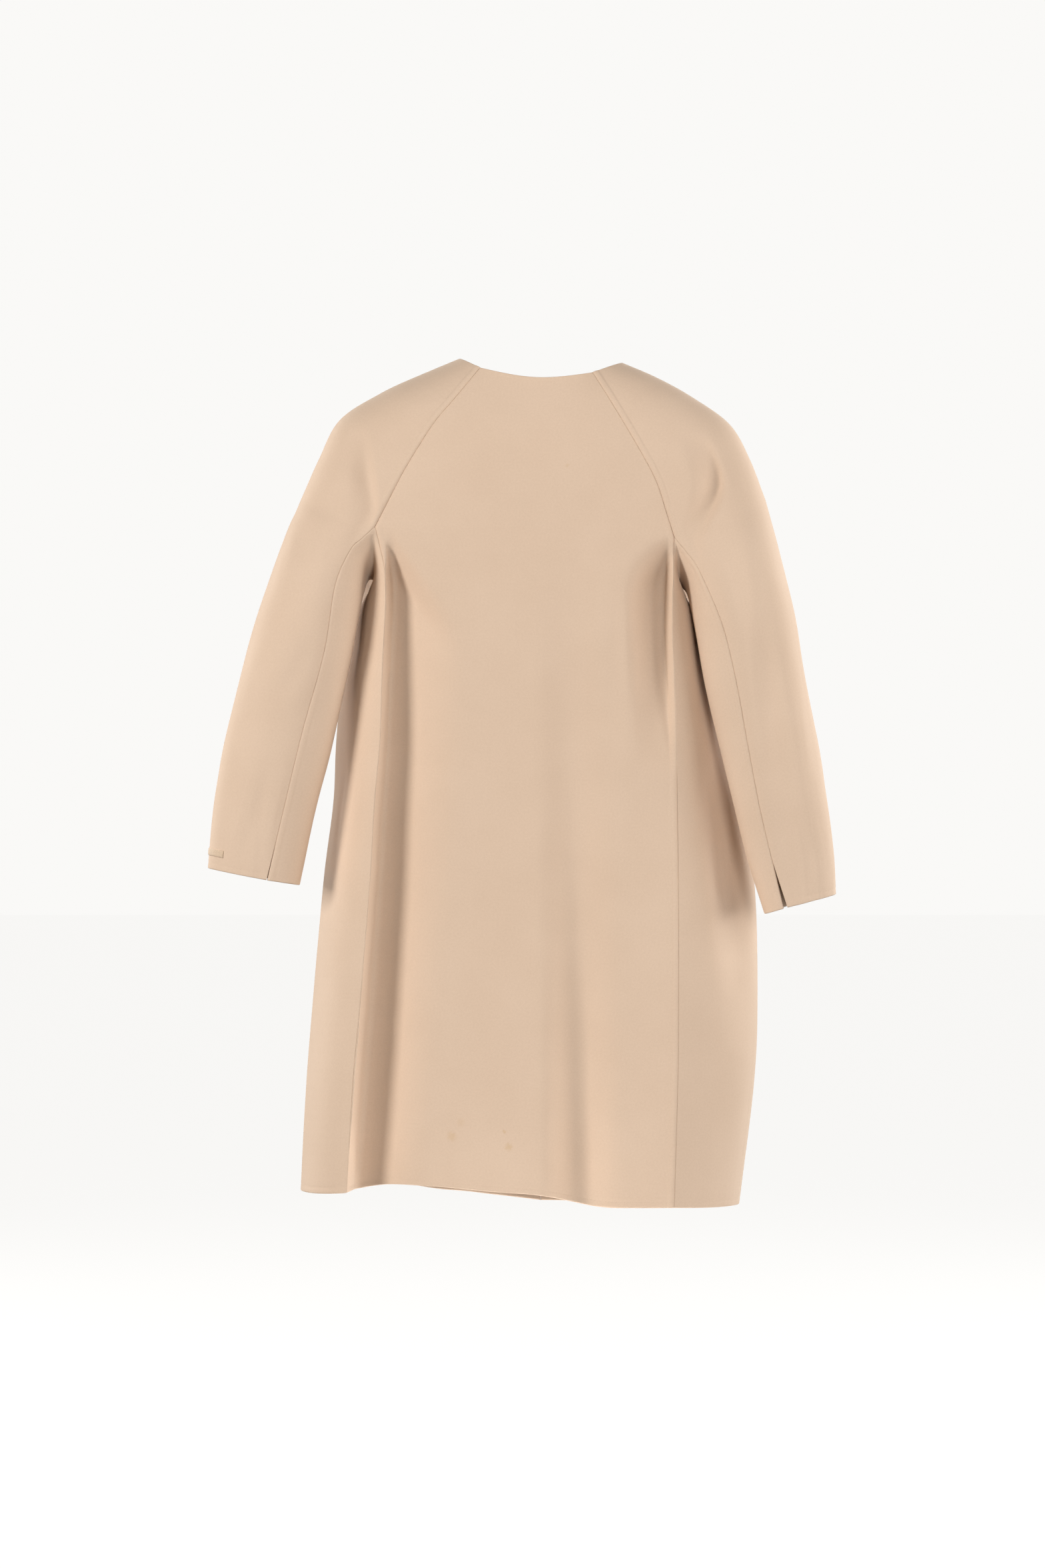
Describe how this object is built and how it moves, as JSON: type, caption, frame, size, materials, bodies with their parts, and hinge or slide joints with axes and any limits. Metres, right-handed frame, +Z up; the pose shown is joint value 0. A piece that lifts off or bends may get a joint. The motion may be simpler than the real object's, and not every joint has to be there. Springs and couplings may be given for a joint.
{
  "type": "long coat",
  "caption": "Collarless raglan-sleeve wool coat, filled out and hollow, with side panels cut in one with the under sleeves, vented cuffs and fronts that meet edge to edge.",
  "frame": {"origin": "midway between the two neck points at the top of the shoulders, where a wearer's shoulders carry the coat", "axes": "+Z up, +Y out of the coat's back, +X towards the coat's own left sleeve; the fronts face -Y"},
  "size_m": [0.703, 0.2357, 0.958],
  "materials": {
    "wool": "matt double-faced wool with a short nap",
    "tab": "matt narrow strip of the same wool"
  },
  "bodies": {
    "root": {"back": "wool", "front_left": "wool", "front_right": "wool", "sleeve_left": "wool", "sleeve_right": "wool", "side_left": "wool", "side_right": "wool", "cuff_tab": "tab"}
  },
  "joints": []
}
